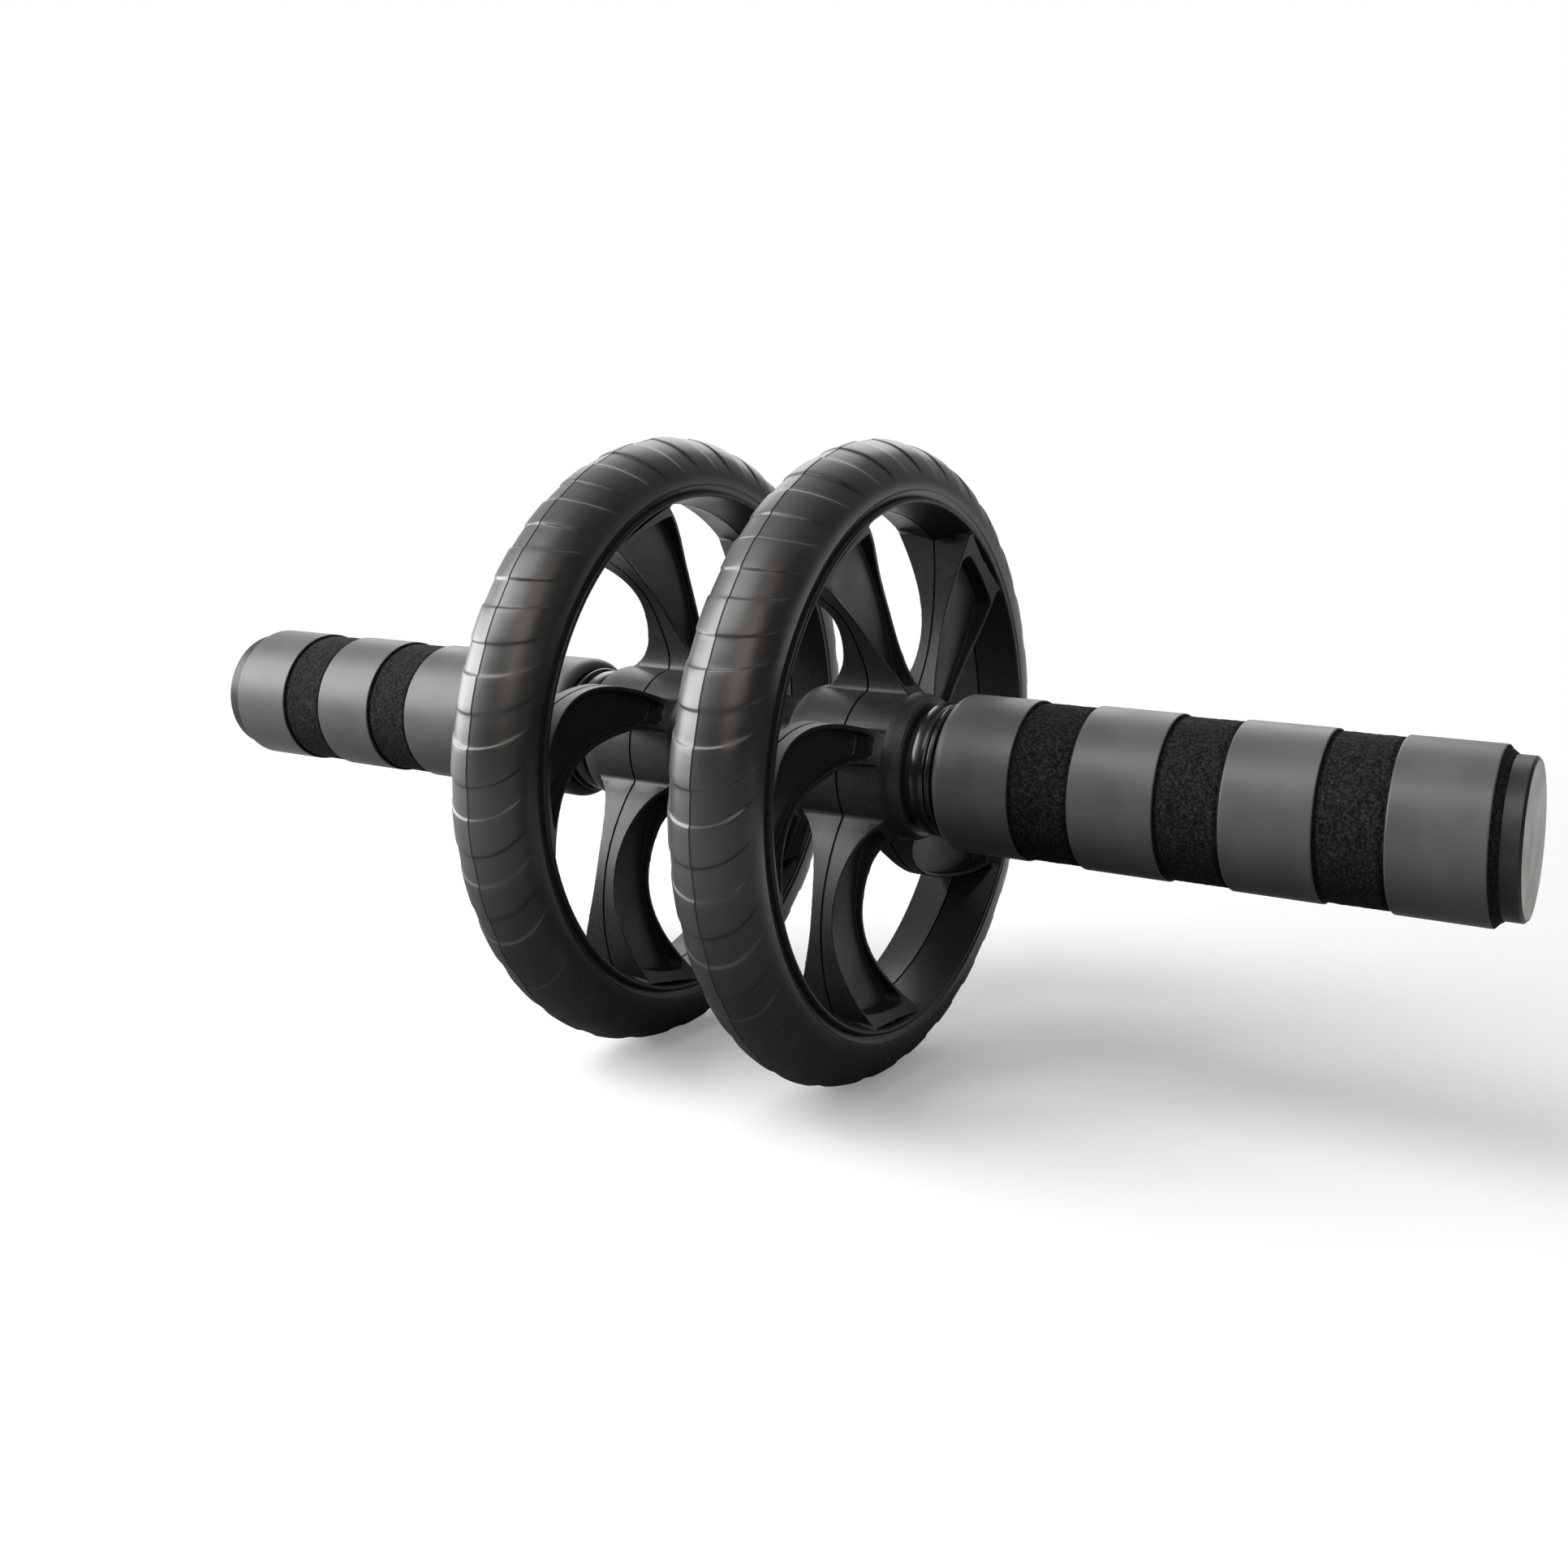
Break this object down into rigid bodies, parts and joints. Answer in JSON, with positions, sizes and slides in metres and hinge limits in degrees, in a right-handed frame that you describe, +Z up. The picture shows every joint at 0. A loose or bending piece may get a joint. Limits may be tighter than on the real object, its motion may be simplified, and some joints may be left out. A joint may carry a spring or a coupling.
{
  "type": "ab wheel roller",
  "caption": "Ab roller with a pair of swept-spoke wheels spinning freely side by side on one axle, and a banded foam grip with a plain end cap on each end.",
  "frame": {"origin": "on the floor under the middle of the axle, between the two wheels", "axes": "+X along the axle towards the right handle, +Z up, +Y the other way across the rolling direction"},
  "size_m": [0.322, 0.14, 0.14],
  "materials": {
    "axle_steel": "drawn",
    "spacer_plastic": "satin",
    "core_plastic": "gloss",
    "grip_foam": "porous matt",
    "grip_skin": "satin",
    "cap_plastic": "satin",
    "cap_face": "satin",
    "wheel_plastic": "satin",
    "tyre_rubber": "satin",
    "bush_nylon": "smooth"
  },
  "bodies": {
    "frame": {"axle": "axle_steel", "center_spacer": "spacer_plastic", "left_cap_disc": "cap_face", "left_end_cap": "cap_plastic", "left_grip_band_1": "grip_skin", "left_grip_band_2": "grip_skin", "left_grip_band_3": "grip_skin", "left_grip_band_4": "grip_skin", "left_grip_foam": "grip_foam", "left_handle_core": "core_plastic", "right_cap_disc": "cap_face", "right_end_cap": "cap_plastic", "right_grip_band_1": "grip_skin", "right_grip_band_2": "grip_skin", "right_grip_band_3": "grip_skin", "right_grip_band_4": "grip_skin", "right_grip_foam": "grip_foam", "right_handle_core": "core_plastic"},
    "left_wheel": {"left_bush_inner": "bush_nylon", "left_bush_outer": "bush_nylon", "left_tyre": "tyre_rubber", "left_wheel_inner_half": "wheel_plastic", "left_wheel_outer_half": "wheel_plastic"},
    "right_wheel": {"right_bush_inner": "bush_nylon", "right_bush_outer": "bush_nylon", "right_tyre": "tyre_rubber", "right_wheel_inner_half": "wheel_plastic", "right_wheel_outer_half": "wheel_plastic"}
  },
  "joints": [
    {"name": "left_wheel_spin", "type": "hinge", "parent": "frame", "child": "left_wheel", "pos_m": [-0.027, 0, 0.07], "axis": [1, 0, 0], "continuous": true},
    {"name": "right_wheel_spin", "type": "hinge", "parent": "frame", "child": "right_wheel", "pos_m": [0.027, 0, 0.07], "axis": [1, 0, 0], "continuous": true}
  ]
}
